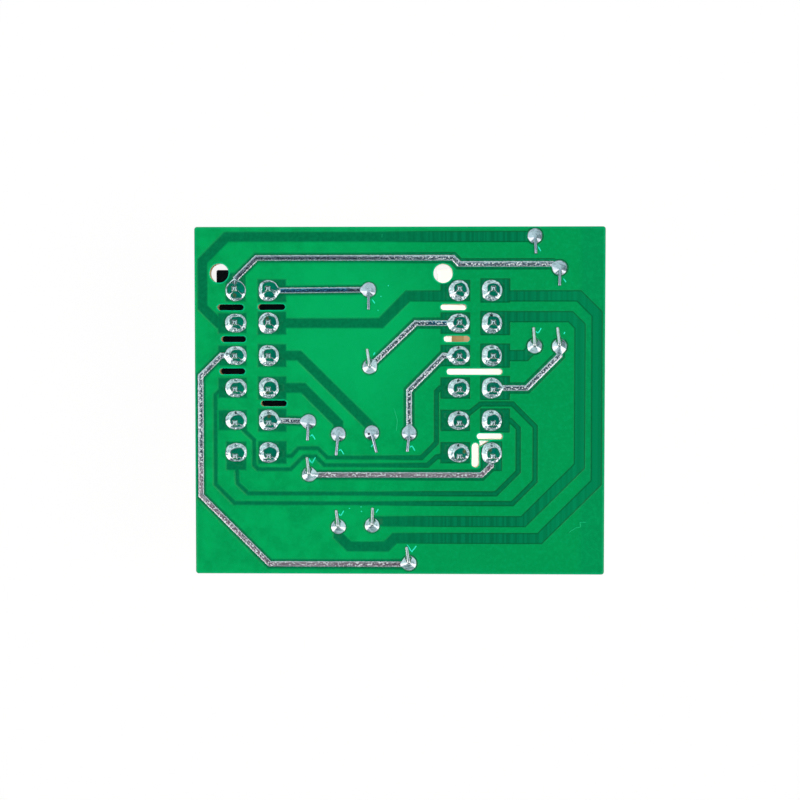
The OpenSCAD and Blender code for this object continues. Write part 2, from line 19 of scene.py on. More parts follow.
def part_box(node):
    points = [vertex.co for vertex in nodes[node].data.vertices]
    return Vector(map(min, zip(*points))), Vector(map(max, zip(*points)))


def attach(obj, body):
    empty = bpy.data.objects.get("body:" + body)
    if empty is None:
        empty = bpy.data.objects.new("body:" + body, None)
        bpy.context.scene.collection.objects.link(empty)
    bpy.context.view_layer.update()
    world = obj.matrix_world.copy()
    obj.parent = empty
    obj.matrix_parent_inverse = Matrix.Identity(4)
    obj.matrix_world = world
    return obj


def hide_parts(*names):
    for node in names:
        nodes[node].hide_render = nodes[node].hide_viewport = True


MM = 0.001
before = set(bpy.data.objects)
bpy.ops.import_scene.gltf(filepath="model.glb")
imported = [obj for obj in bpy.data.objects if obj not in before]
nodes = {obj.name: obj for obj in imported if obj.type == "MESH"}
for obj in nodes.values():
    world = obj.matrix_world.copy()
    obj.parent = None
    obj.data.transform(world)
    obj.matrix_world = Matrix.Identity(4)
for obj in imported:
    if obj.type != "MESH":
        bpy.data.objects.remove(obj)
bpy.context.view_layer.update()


# %% [markdown]
# ## Heights and places, read off the frame
# The frame knows where every pin stands, so no place is typed in twice. A helper gives a node's
# box in millimetres, and the heights of the layers come from such boxes.

# %% Heights and places
def box(node):
    """Lowest and highest corner of a CAD node, in millimetres."""
    low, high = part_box(node)
    return np.array(low) / MM, np.array(high) / MM


BOARD_LOW, BOARD_HIGH = box("board")
BOARD_TOP = BOARD_HIGH[2]
COPPER_TOP = box("exposed_track_1")[1][2]
LACQUER_TOP = box("solder_mask")[1][2]
PIN_TOP = box("left_pin_1")[1][2]
SIDES = ("left", "right")
ROWS = 6
PINS = [f"{side}_pin_{number}" for side in SIDES for number in range(1, 2 * ROWS + 1)]
TRACKS = sorted(name for name in nodes if "_track_" in name)
WIRES = sorted(name for name in nodes if name.startswith("jumper_wire"))
print("layers in mm:", [round(z, 2) for z in (BOARD_LOW[2], BOARD_TOP, COPPER_TOP, LACQUER_TOP, PIN_TOP)])


# %% [markdown]
# ## Reading an outline
# The lacquer has to follow the copper exactly. Instead of drawing every track again, a helper
# takes the flat top of its CAD node and walks round the edges that only one face uses. They chain
# into loops: the longest is the outline, and the rest are its holes.

# %% Outlines of flat tops
SAME_HEIGHT = 0.004


def area(ring):
    """Signed area of a closed ring of x and y."""
    x, y = ring[:, 0], ring[:, 1]
    return 0.5 * float(np.sum(x * np.roll(y, -1) - y * np.roll(x, -1)))


def top_loops(node, height):
    """Closed anticlockwise loops round a node's flat top at a height, the largest first."""
    mesh = nodes[node].data
    numbers = {}
    corner_of = [numbers.setdefault(tuple(round(c / MM, 3) for c in v.co), len(numbers))
                 for v in mesh.vertices]
    corners = list(numbers)
    directed = set()
    for face in mesh.polygons:
        ring = [corner_of[i] for i in face.vertices]
        if all(abs(corners[i][2] - height) < SAME_HEIGHT for i in ring):
            directed.update(zip(ring, ring[1:] + ring[:1]))
    after = {}
    for a, b in directed:
        if (b, a) not in directed:
            after.setdefault(a, []).append(b)
    loops = []
    while after:
        start = next(iter(after))
        loop = [start]
        while True:
            step = after[loop[-1]].pop()
            if not after[loop[-1]]:
                del after[loop[-1]]
            if step == start:
                break
            loop.append(step)
        loops.append(np.array([corners[i][:2] for i in loop]))
    loops.sort(key=lambda ring: -abs(area(ring)))
    return [ring if area(ring) > 0 else ring[::-1] for ring in loops]


copper_loops = {name: top_loops(name, COPPER_TOP)[0] for name in TRACKS}
board_loops = top_loops("board", BOARD_TOP)
lacquer_loops = top_loops("solder_mask", LACQUER_TOP)
strip_loops = top_loops("track_tinning", box("track_tinning")[1][2])
print("tracks:", len(TRACKS), "openings:", len(lacquer_loops) - 1, "strips:", len(strip_loops))


# %% [markdown]
# ## Measuring from an outline
# The lacquer swells where it climbs a track, and solder thins to its edge. Both depend on how far
# a point lies from an outline, so two helpers answer "inside?" and "how far?" for many points at
# once. A third moves an outline in or out, which gives the lines where a surface changes slope.

# %% Distances and offsets
TINY = 1e-12
SHARPEST_MITRE = 0.4


def inside(points, ring):
    """True for each point that lies inside a closed ring, by counting the edges it looks across."""
    x, y = points[:, 0], points[:, 1]
    answer = np.zeros(len(points), bool)
    for (ax, ay), (bx, by) in zip(ring, np.roll(ring, -1, 0)):
        if ay == by:
            continue
        spans = (ay > y) != (by > y)
        answer ^= spans & (x < (bx - ax) * (y - ay) / (by - ay) + ax)
    return answer


def distance(points, ring, reach=1.0):
    """Signed distance from each point to a ring, positive inside. Beyond reach it is -reach."""
    answer = np.full(len(points), -reach)
    low, high = ring.min(0) - reach, ring.max(0) + reach
    near = np.where(np.all((points > low) & (points < high), axis=1))[0]
    if not len(near):
        return answer
    p = points[near]
    best = np.full(len(near), reach * reach)
    for a, b in zip(ring, np.roll(ring, -1, 0)):
        edge = b - a
        along = np.clip(((p - a) @ edge) / max(edge @ edge, TINY), 0, 1)
        best = np.minimum(best, np.sum((p - a - along[:, None] * edge) ** 2, axis=1))
    sign = np.where(inside(p, ring), 1.0, -1.0)
    answer[near] = sign * np.sqrt(best)
    return answer


def offset(ring, out):
    """The anticlockwise ring moved outwards by a distance, or inwards by a negative one."""
    before, after = ring - np.roll(ring, 1, 0), np.roll(ring, -1, 0) - ring
    before /= np.maximum(np.linalg.norm(before, axis=1), TINY)[:, None]
    after /= np.maximum(np.linalg.norm(after, axis=1), TINY)[:, None]
    normal = np.stack([before[:, 1] + after[:, 1], -before[:, 0] - after[:, 0]], 1)
    scale = np.maximum(np.sum(normal * normal, axis=1), SHARPEST_MITRE)
    return ring + normal * (2 * out / scale)[:, None]


def resample(ring, step):
    """The same ring with points no further apart than a step."""
    points = []
    for a, b in zip(ring, np.roll(ring, -1, 0)):
        count = max(1, math.ceil(np.linalg.norm(b - a) / step))
        points += [a + (b - a) * i / count for i in range(count)]
    return np.array(points)


def unit(vector):
    """The same direction with a length of 1."""
    return vector / np.linalg.norm(vector)


def gap(points, place):
    """How far each point is from a place."""
    return np.linalg.norm(points - place, axis=1)


def smooth(value, low, high):
    """0 below low, 1 above high, and an S-shaped rise between. High may be the smaller."""
    t = np.clip((np.asarray(value, float) - low) / (high - low), 0, 1)
    return t * t * (3 - 2 * t)


def rounded(value):
    """0 below 0, 1 above 1, and a rise between that starts steep and ends level."""
    return 1 - (1 - np.clip(value, 0, 1)) ** 2


# %% [markdown]
# ## From outlines to a closed skin
# Lacquer and solder are skins with a flat back and a shaped front. Blender can fill a set of
# outlines with triangles that keep every given line as an edge, which is a constrained Delaunay
# triangulation. The helper keeps the triangles that the caller wants, lifts the front to a height,
# and closes the back and the rim, so that each piece is a solid that could be printed.

# %% Skins and meshes
MERGE_WITHIN = 1e-5


def put(name, data):
    """Adds an object to the scene."""
    thing = bpy.data.objects.new(name, data)
    bpy.context.scene.collection.objects.link(thing)
    return thing


def put_mesh(name, points, faces, material):
    """Adds a mesh object made from points in millimetres."""
    mesh = bpy.data.meshes.new(name)
    mesh.from_pydata([tuple(float(c) * MM for c in p) for p in points], [], faces)
    mesh.validate()
    mesh.materials.append(material)
    return put(name, mesh)


def add_piece(name, points, faces, material, slot):
    """Adds a smooth mesh that rides on the board, and prints how many faces it has."""
    piece = put_mesh(name, points, faces, material)
    piece.data.polygons.foreach_set("use_smooth", [True] * len(piece.data.polygons))
    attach(piece, "root")
    print(name, "faces:", len(faces))
    return piece


def store(piece, name, values):
    """Keeps one value for each point of a piece under a name, for its finish to read."""
    layer = piece.data.attributes.new(name, "FLOAT", "POINT")
    layer.data.foreach_set("value", np.asarray(values, np.float32))


def store_skin(piece, used, **marks):
    """Stores marks of a skin, where each front point shares its value with its copy on the back."""
    for name, values in marks.items():
        store(piece, name, np.tile(values[used], 2))


def triangulate(rings, loose=()):
    """Points and triangles that keep the edges of every ring and use the loose points too."""
    points = []
    edges = []
    for ring in rings:
        first = len(points)
        points += [Vector(p) for p in ring]
        edges += [(first + i, first + (i + 1) % len(ring)) for i in range(len(ring))]
    points += [Vector(p) for p in loose]
    found = delaunay_2d_cdt(points, edges, [], 0, MERGE_WITHIN)
    return np.array(found[0]), np.array(found[2])


def closed_skin(flat, faces, heights, floor):
    """A solid's points, faces and used points: the lifted faces, their copy on the floor, and a rim."""
    used, front = np.unique(faces, return_inverse=True)
    front = front.reshape(faces.shape)
    count = len(used)
    points = [(x, y, z) for (x, y), z in zip(flat[used], heights[used])]
    points += [(x, y, floor) for x, y in flat[used]]
    directed = {(int(a), int(b)) for face in front for a, b in zip(face, np.roll(face, -1))}
    rim = [(a, b) for a, b in directed if (b, a) not in directed]
    solid = [tuple(int(i) for i in face) for face in front]
    solid += [tuple(int(i) + count for i in face[::-1]) for face in front]
    solid += [(b, a, a + count, b + count) for a, b in rim]
    return points, solid, used


def ring_faces(rings, sides):
    """Faces between rings of points that follow each other, then the first and the last end."""
    faces = [(ring * sides + i, ring * sides + (i + 1) % sides,
              (ring + 1) * sides + (i + 1) % sides, (ring + 1) * sides + i)
             for ring in range(rings - 1) for i in range(sides)]
    return faces + [tuple(range(sides))[::-1], tuple(range((rings - 1) * sides, rings * sides))]


# %% [markdown]
# ## Shader sums in plain Python
# A finish is a graph of shader nodes. Wiring it by hand hides the idea in socket names, so three
# small classes do it: a Signal is an output socket that adds, subtracts and multiplies like a
# number, a Graph makes a node from its type, inputs and settings, and a Finish is one material.

# %% Signals and finishes
def srgb(colour):
    """A colour as a screen shows it, 0 to 255 a channel, turned into the linear values of a shader."""
    channels = [c / 255 for c in colour]
    return (*[c / 12.92 if c < 0.04045 else ((c + 0.055) / 1.055) ** 2.4 for c in channels], 1)


class Signal:
    """The output socket of a shader node, with the operators of a number."""

    def __init__(self, finish, socket):
        self.finish = finish
        self.socket = socket

    def math(self, operation, *values):
        return self.finish.add("Math", values, operation=operation)[0]

    def __add__(self, other):
        return self.math("ADD", self, other)

    def __sub__(self, other):
        return self.math("SUBTRACT", self, other)

    def __rsub__(self, other):
        return self.math("SUBTRACT", other, self)

    def __mul__(self, other):
        return self.math("MULTIPLY", self, other)

    __radd__ = __add__
    __rmul__ = __mul__


class Graph:
    """A tree of shader nodes."""

    def __init__(self, tree):
        self.tree = tree
        self.tree.nodes.clear()

    def add(self, kind, values=(), **settings):
        """Makes one node and returns its outputs by number and by name."""
        node = self.tree.nodes.new("ShaderNode" + kind)
        for key, value in settings.items():
            setattr(node, key, value)
        pairs = values.items() if isinstance(values, dict) else enumerate(values)
        for key, value in pairs:
            if isinstance(value, Signal):
                self.tree.links.new(value.socket, node.inputs[key])
            else:
                node.inputs[key].default_value = value
        outputs = {socket.name: Signal(self, socket) for socket in node.outputs}
        outputs.update({i: Signal(self, socket) for i, socket in enumerate(node.outputs)})
        return outputs

    def looked_at(self):
        """1 for rays that look at a thing, directly, in a mirror or through glass, and 0 for its light."""
        rays = self.add("LightPath")
        seen = rays["Is Camera Ray"]
        for other in ("Is Glossy Ray", "Is Transmission Ray"):
            seen = seen.math("MAXIMUM", seen, rays[other])
        return seen

    def end(self, shader, kind="OutputMaterial"):
        """Ends the graph in a shader."""
        self.add(kind, {"Surface": shader})


class Finish(Graph):
    """A material. place is the point of the surface, in millimetres."""

    def __init__(self, name):
        self.material = bpy.data.materials.new(name)
        self.material.use_nodes = True
        super().__init__(self.material.node_tree)
        metres = self.add("TexCoord")["Object"]
        self.place = self.add("VectorMath", {0: metres, 3: 1 / MM}, operation="SCALE")[0]

    def noise(self, size, detail, stretch=(1, 1, 1)):
        """Cloudy noise from 0 to 1, whose clouds are about size millimetres across."""
        place = self.add("VectorMath", (self.place, stretch), operation="MULTIPLY")[0]
        return self.add("TexNoise", {"Vector": place, "Scale": 1 / size, "Detail": detail})[0]

    def ease(self, value, low, high):
        """0 below low, 1 above high and an S-shaped rise between."""
        ranges = {"Value": value, "From Min": low, "From Max": high}
        return self.add("MapRange", ranges, interpolation_type="SMOOTHSTEP")[0]

    def mix(self, share, first, second):
        """A colour that goes from the first to the second as the share goes from 0 to 1."""
        first, second = [c if isinstance(c, Signal) else srgb(c) for c in (first, second)]
        return self.add("Mix", {0: share, 6: first, 7: second}, data_type="RGBA")[2]

    def coat(self, colour, *coats):
        """The colour under coats of share and colour, laid on one after another."""
        for share, coat in coats:
            colour = self.mix(share, colour, coat)
        return colour

    def blend(self, value, low, high, first, second):
        """A colour that eases from the first to the second as a value goes from low to high."""
        return self.mix(self.ease(value, low, high), first, second)

    def part(self, vector, axis):
        """One number of a vector: 0, 1 or 2 for X, Y or Z."""
        return self.add("SeparateXYZ", (vector,))[axis]

    def stored(self, name):
        """The value that the mesh stores under a name."""
        return self.add("Attribute", attribute_name=name)["Fac"]

    def surface(self, colour, height, depth, **sockets):
        """Ends the graph in a Principled surface. height is a bump signal and depth its size in mm."""
        values = {key.replace("_", " "): value for key, value in sockets.items()}
        bump = {"Height": height, "Distance": depth * MM, "Strength": 1.0}
        values.update({"Base Color": colour, "Normal": self.add("Bump", bump)[0]})
        self.end(self.add("BsdfPrincipled", values)[0])
        return self.material


# %% [markdown]
# ## Metals
# Solder is a soft tin alloy that freezes bright, with a skin of small ripples and a few dull
# patches. It is a metal with low roughness: what makes it read as solder is its shape and the
# cards of light that it mirrors. Its steep slopes carry a painted reflection of the green lacquer,
# and its notches painted shade. The tin on the tracks is thinner, so copper's warmth and a violet
# tarnish come through, between bright specks that are partly frost and partly painted glints.
# Brass and wire are plated and smoother, and the wires' back ends carry painted shade.

# %% Finishes of the metals
# The teal-green is a painted reflection of the lacquer on steep slopes, and the near-black is painted
# shade in dents and pits. Amber is a real stain, and the pale grey marks duller solder.
STAINS_AND_SHADE = {"dull": (206, 212, 222), "green_reflection": (0, 158, 146), "amber": (150, 112, 52), "pit_shade": (34, 36, 42)}


def solder_finish():
    """Bright tin alloy: fine ripples, and patches that froze a little duller."""
    finish = Finish("bright_solder")
    patches = finish.noise(0.5, 3)
    ripples = finish.noise(0.16, 3)
    colour = finish.blend(patches, 0.35, 0.7, (206, 214, 218), (240, 246, 248))
    marks = {name: finish.stored(name) for name in STAINS_AND_SHADE}
    colour = finish.coat(colour, *[(marks[name], stain) for name, stain in STAINS_AND_SHADE.items()])
    return finish.surface(colour, height=ripples, depth=0.01,
                          Roughness=0.08 + 0.1 * finish.ease(patches, 0.4, 0.75) + 0.1 * marks["dull"],
                          Metallic=1 - 0.35 * marks["green_reflection"], Specular_IOR_Level=0.1)


def tinning_finish():
    """The thin tin on the tracks: glossy where it is new, tarnished and dull where it was reworked."""
    finish = Finish("track_tin")
    clouds = finish.noise(1.6, 3)
    grain = finish.noise(0.19, 3)
    crown = finish.stored("crown")
    dull = finish.stored("dull")
    warm = finish.ease(finish.part(finish.place, 1), -6, -9)
    tarnished = finish.mix(warm, (180, 186, 200), (200, 168, 182))
    tarnished = finish.mix(dull, (136, 142, 160), tarnished)
    colour = finish.mix(crown * finish.ease(clouds, 0.2, 0.5), (228, 230, 234), tarnished)
    # Near-white specks that turn the metal down: partly frost on the reworked tin, partly painted glints
    # of its ripples.
    specks = finish.ease(finish.noise(0.24, 1), 0.53, 0.62)
    frost_and_glints = crown * dull * specks * finish.ease(clouds, 0.32, 0.5)
    colour = finish.coat(colour, (crown * finish.stored("blue"), (40, 148, 190)), (frost_and_glints, (226, 234, 236)))
    return finish.surface(colour, height=grain, depth=0.042,
                          Roughness=0.08 + 0.06 * grain + (0.08 + 0.1 * warm) * dull * crown,
                          Metallic=1 - 0.8 * frost_and_glints)


def plated_finish(name, colour, roughness):
    """Tin plate on brass or on copper wire, with fine scratches along it, and painted shade where the mesh
    stores it.
    """
    finish = Finish(name)
    scratches = finish.noise(0.2, 4, stretch=(1, 0.2, 0.2))
    shade = finish.blend(scratches, 0.3, 0.7, colour, (236, 234, 230))
    # Greyer lilac where the mesh stores it: painted shade on the back ends of the wires.
    shade = finish.mix(finish.stored("dull"), shade, (200, 210, 224))
    return finish.surface(shade, height=scratches, depth=0.006,
                          Roughness=roughness + 0.12 * scratches, Metallic=1.0)


def copper_finish():
    """Etched copper under its lacquer, brown where it has aged."""
    finish = Finish("etched_copper")
    clouds = finish.noise(0.8, 3)
    colour = finish.mix(clouds, (190, 118, 84), (222, 152, 112))
    return finish.surface(colour, height=finish.noise(0.05, 2), depth=0.004,
                          Roughness=0.3 + 0.2 * clouds, Metallic=1.0)


SOLDER = solder_finish()
TRACK_TIN = tinning_finish()
PIN_PLATE = plated_finish("plated_brass", (214, 212, 210), 0.14)
WIRE_PLATE = plated_finish("plated_wire", (242, 246, 248), 0.16)
COPPER = copper_finish()
print("metals:", [metal.name for metal in (SOLDER, TRACK_TIN, PIN_PLATE, WIRE_PLATE, COPPER)])


# %% [markdown]
# ## Lacquer, laminate and nylon
# The lacquer is a green film. Over bare laminate the tan paper lights it from below, so it is a
# clear green; over copper it is darker. Along the copper's edges it is darkest, which is painted shade.
# Where hot solder ran under it the film puckers into ribs. The mesh stores where the copper lies,
# so that the finish can follow it.

# %% Finishes of the board and the headers
def lacquer_finish():
    """Green film: clear over laminate, dark over copper, ribbed on the power tracks."""
    finish = Finish("green_lacquer")
    cover = finish.stored("cover")
    across = finish.part(finish.place, 0)
    ribs = finish.add("TexNoise", {"W": across, "Scale": 1.9, "Detail": 1.0}, noise_dimensions="1D")[0]
    right = finish.ease(across, -8, 10)
    clear = finish.add("VectorMath", (finish.place, (-6, 9, BOARD_TOP)), operation="DISTANCE")["Value"]
    blotches = finish.noise(2.2, 3)
    specks = finish.noise(0.4, 3)
    base = finish.blend(blotches, 0.3, 0.7, (0, 148, 78), (0, 163, 86))
    base = finish.coat(base, (right * 0.85, (0, 144, 77)), (finish.ease(clear, 15, 4) * 0.7, (2, 172, 94)),
                       (finish.ease(across, 22.6, 23.6) * 0.45, (0, 132, 78)),
                       (finish.ease(specks, 0.4, 0.75) * 0.3, (0, 170, 100)))
    copper = finish.blend(specks, 0.3, 0.7, (0, 105, 65), (0, 115, 72))
    ribbed = finish.blend(ribs, 0.4, 0.6, (0, 106, 65), (0, 120, 77))
    pale = finish.mix(ribs, (0, 114, 68), (0, 138, 86))
    # The darkest green along the copper's edges is painted shade of the shoulders.
    copper = finish.coat(copper, (right * finish.stored("broad"), ribbed),
                         (finish.ease(across, 14, 21) * 0.9, pale),
                         (finish.stored("brink") * right * 0.95, (0, 82, 42)))
    colour = finish.coat(base, (cover, copper), (finish.stored("lip"), (0, 200, 142)))
    waves = finish.noise(1.1, 2) * 0.5 + specks * 0.2 + ribs * cover * right * 0.4
    return finish.surface(colour, height=waves, depth=0.005,
                          Roughness=0.16 + 0.06 * specks, Specular_IOR_Level=0.1)


def laminate_finish():
    """Tan paper laminate: pressed layers that show as lines at the edge, fibres on the face, painted light
    on the walls and painted shade low down.
    """
    finish = Finish("tan_laminate")
    layers = finish.noise(0.3, 3, stretch=(0.1, 0.1, 3))
    fibres = finish.noise(0.6, 4, stretch=(1, 0.35, 1))
    facing = finish.add("NewGeometry")["True Normal"]
    # Sideways walls are paler: partly the cut edge's own colour, partly painted light. Upward faces deep
    # in a recess are darker: painted shade.
    lit_wall = finish.blend(layers, 0.3, 0.7, (250, 222, 164), (255, 240, 196))
    shaded_deep = finish.blend(layers, 0.3, 0.7, (152, 128, 80), (172, 150, 100))
    shallow = finish.blend(layers, 0.3, 0.7, (180, 146, 104), (198, 168, 128))
    colour = finish.blend(finish.part(finish.place, 2), BOARD_TOP - 0.75, BOARD_TOP - 0.5, shaded_deep, shallow)
    colour = finish.blend(finish.part(facing, 2), 0.3, 0.7, lit_wall, colour)
    colour = finish.mix(finish.ease(fibres, 0.55, 0.8) * 0.3, colour, (228, 212, 178))
    return finish.surface(colour, height=layers, depth=0.03, Roughness=0.6 + 0.2 * fibres)


def nylon_finish(name, dark, light, shine):
    """Moulded nylon: a fine spark-eroded texture, slightly cloudy."""
    finish = Finish(name)
    grain = finish.noise(0.08, 2)
    clouds = finish.noise(2.5, 2)
    return finish.surface(finish.mix(clouds, dark, light), height=grain, depth=0.006,
                          Roughness=0.42 + 0.12 * grain, Specular_IOR_Level=shine)


LACQUER = lacquer_finish()
LAMINATE = laminate_finish()
BLACK_NYLON = nylon_finish("nylon_black", (0, 2, 5), (2, 5, 10), 0.12)
NATURAL_NYLON = nylon_finish("nylon_natural", (246, 250, 254), (250, 254, 255), 0.4)
print("board and headers:", [m.name for m in (LACQUER, LAMINATE, BLACK_NYLON, NATURAL_NYLON)])


# %% Finishes on the CAD nodes that stay
KEPT = {"board": LAMINATE, "left_header_base": BLACK_NYLON, "left_header_sockets": BLACK_NYLON,
        "right_header_base": NATURAL_NYLON, "right_header_sockets": NATURAL_NYLON}
KEPT.update({name: COPPER for name in TRACKS})
KEPT.update({name: PIN_PLATE for name in PINS})
for name, material in KEPT.items():
    nodes[name].data.materials.clear()
    nodes[name].data.materials.append(material)
print("CAD nodes with a finish:", len(KEPT))


# %% [markdown]
# ## Where solder meets lacquer
# Solder spreads over the copper that the lacquer leaves free, so a joint and its opening in the
# lacquer share one outline: a rounded one for each pin, flatter at the front and back of the first
# column and at the left of the second, with a neck where a tinned strip runs in. Its rays start at
# the middle of the hole.

# %% Rays and noise
RAYS = 96
ANGLES = np.linspace(0, 2 * math.pi, RAYS, endpoint=False)
ROUND = np.stack([np.cos(ANGLES), np.sin(ANGLES)], 1)
DEGREE = math.pi / 180


def lumps(points, size, seed=0.0):
    """Soft noise from -1 to 1 at each point, with lumps about size millimetres across."""
    return np.array([noise.noise(Vector((p[0] / size, p[1] / size, seed))) for p in points])


def swell(middle, width):
    """1 at an angle in degrees, falling to 0 on both sides of it, for each ray."""
    turn = (ANGLES - middle * DEGREE + math.pi) % (2 * math.pi) - math.pi
    return np.exp(-((turn / (width * DEGREE)) ** 2))


def squarish(half, power):
    """Distance from a middle to the edge of a rounded square, along each ray."""
    return half / np.sum(np.abs(ROUND) ** power, axis=1) ** (1 / power)


# %% Outline of every joint
NEAR_PIN = 0.4
WIRE_HOLE_AREA = 0.55
pin_middles = np.array([(box(name)[0] + box(name)[1])[:2] / 2 for name in PINS])
pin_holes = []
wire_holes = []
slots_and_pegs = []
for ring in board_loops[1:]:
    if gap(pin_middles, ring.mean(0)).min() < NEAR_PIN:
        pin_holes.append(ring.mean(0))
    elif area(ring) < WIRE_HOLE_AREA:
        wire_holes.append(ring.mean(0))
    else:
        slots_and_pegs.append(ring)

JOINT_RADIUS = 1.38
NECKS = {("left", 0, 0): 96, ("left", 1, 0): 0, ("left", 0, 2): 180, ("left", 1, 4): 0,
         ("right", 0, 1): 180, ("right", 0, 2): 180, ("right", 1, 3): 0, ("right", 1, 5): -95}


def joint_rim(side, column, row):
    """Middle of the hole, middle of the pin, the joint's edge on each ray, and a seed for its noise."""
    number = column * ROWS + row
    seed = 31.7 * number + 500 * SIDES.index(side)
    pin = pin_middles[number + 2 * ROWS * SIDES.index(side)]
    hole = min(pin_holes, key=lambda middle: np.linalg.norm(middle - pin))
    to_left = ROUND[:, 0] < 0
    if column == 1:
        wide, tall, power = np.where(to_left, 1.3, 1.35), JOINT_RADIUS, np.where(to_left, 2.5, 2.05)
    elif row == 0:
        wide, tall, power = JOINT_RADIUS - 0.03, JOINT_RADIUS, 2.0
    else:
        wide, tall, power = JOINT_RADIUS + 0.04, 1.24, 2.2
    reach = (np.abs(ROUND[:, 0] / wide) ** power + np.abs(ROUND[:, 1] / tall) ** power) ** (-1 / power)
    reach = reach + 0.05 * lumps(ROUND * 1.4, 0.6, seed) + 0.03 * lumps(ROUND * 1.4, 0.2, seed)
    if (side, column, row) in NECKS:
        reach = reach + 0.24 * swell(NECKS[(side, column, row)], 14)
    return hole, pin, hole + ROUND * reach[:, None], seed


JOINTS = {(side, column, row): joint_rim(side, column, row)
          for side in SIDES for column in (0, 1) for row in range(ROWS)}
WIRE_POOL = 0.98
print("joints:", len(JOINTS), "wire holes:", len(wire_holes), "cuts:", len(slots_and_pegs))


# %% [markdown]
# ## The green lacquer
# The lacquer is one thin skin that climbs over each track, so every track shows as a low plateau
# with soft shoulders, where a flat sheet with a painted pattern would catch no light. It is filled
# between its openings and four lines round each track: one beside it, one at the foot of the
# shoulder, one at its top and one inside.

# %% Lacquer: the lines that its slopes follow
FILM = 0.035
FOOT = 0.1
SHOULDER = 0.16
LIP = 0.2
EDGE_BAND = 0.3
CUT_GAP = 0.03
UNDER_JOINT = 0.06
UNDER_POOL = 0.08
SIGHT = 1.2
SUNK = 0.01
random.seed(4)


def scattered(low, high, step):
    """Loose points over a rectangle, one in each square of a grid, each a little off its middle."""
    xs = np.arange(low[0] + step / 2, high[0], step)
    ys = np.arange(low[1] + step / 2, high[1], step)
    return [(x + random.uniform(-0.3, 0.3) * step, y + random.uniform(-0.3, 0.3) * step)
            for x in xs for y in ys]


lacquer_edge = resample(lacquer_loops[0], 0.8)
cuts = [offset(resample(ring, 0.3), -CUT_GAP) for ring in slots_and_pegs]
openings = cuts + [resample(ring, 0.4) for ring in strip_loops]
openings += [offset(rim, -UNDER_JOINT) for _, _, rim, _ in JOINTS.values()]
openings += [hole + ROUND[::4] * (WIRE_POOL - UNDER_POOL) for hole in wire_holes]
lacquer_lines = [lacquer_edge, offset(lacquer_edge, -EDGE_BAND)] + openings
lacquer_lines += [offset(ring, LIP) for ring in cuts]
for ring in copper_loops.values():
    fine = resample(ring, 0.5)
    lacquer_lines += [offset(fine, 2 * FOOT), offset(fine, FOOT), fine, offset(fine, -SHOULDER)]
print("lines:", len(lacquer_lines), "openings:", len(openings))


# %% Lacquer: skin
flat, triangles = triangulate(lacquer_lines, scattered(BOARD_LOW[:2] + 0.5, BOARD_HIGH[:2] - 0.5, 0.9))
middles = flat[triangles].mean(1)
kept = inside(middles, lacquer_edge)
for ring in openings:
    kept &= ~inside(middles, ring)
triangles = triangles[kept]
depths = {name: distance(flat, ring, SIGHT) for name, ring in copper_loops.items()}
onto_copper = np.max(list(depths.values()), axis=0)
onto_wide = np.max([depths[name] for name in TRACKS if "thin" not in name], axis=0)
from_cut = np.min([-distance(flat, ring, SIGHT) for ring in cuts], axis=0)
climb = smooth(onto_copper, -FOOT * 1.05, 0.02)
heights = BOARD_TOP + FILM + (LACQUER_TOP - BOARD_TOP - FILM) * climb
points, faces, used = closed_skin(flat, triangles, heights, BOARD_TOP + 0.004)
lacquer = add_piece("green_lacquer", points, faces, LACQUER, "solder_mask")


# %% Lacquer: what the finish needs to know
left_side = smooth(flat[:, 0], 6, -6)
soft = 0.98 * smooth(onto_copper, -0.12, 0.2)
crisp = smooth(onto_copper, -FOOT * 0.7, 0.02)
edge_gap = distance(flat, lacquer_edge, 2.0)
# A thin band along each copper edge is stored for painted shade.
store_skin(lacquer, used, cover=crisp + (soft - crisp) * left_side,
           brink=smooth(np.abs(onto_copper), SHOULDER * 0.9, 0.01),
           broad=smooth(onto_wide, -0.1, 0.0),
           lip=np.maximum(smooth(from_cut, LIP * 0.8, 0.02), 0.45 * smooth(edge_gap, EDGE_BAND, 0.0)))
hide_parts("solder_mask")
print("stored:", [a.name for a in lacquer.data.attributes if not a.name.startswith(".")])


# %% [markdown]
# ## Tinned strips
# The power tracks are bare down their middle and carry a bead of solder, which pulls itself into a
# long low mound with a soft lumpy top. A swept half-round would be too even, so the bead is filled
# between its outline and lines inside it, and a little noise lifts or lowers every point.

# %% Bead along each strip
BEAD_INSETS = (0.04, 0.08, 0.13, 0.19, 0.27, 0.34)
BEAD_RADIUS = (0.19, 0.26)
BEAD_EDGE = 0.015
BEAD_RISE = 0.085
BLUE_ZONES = [(-13.6, 14.1, 3.4), (-9.0, 14.1, 3.2), (5.0, 9.9, 1.6)]


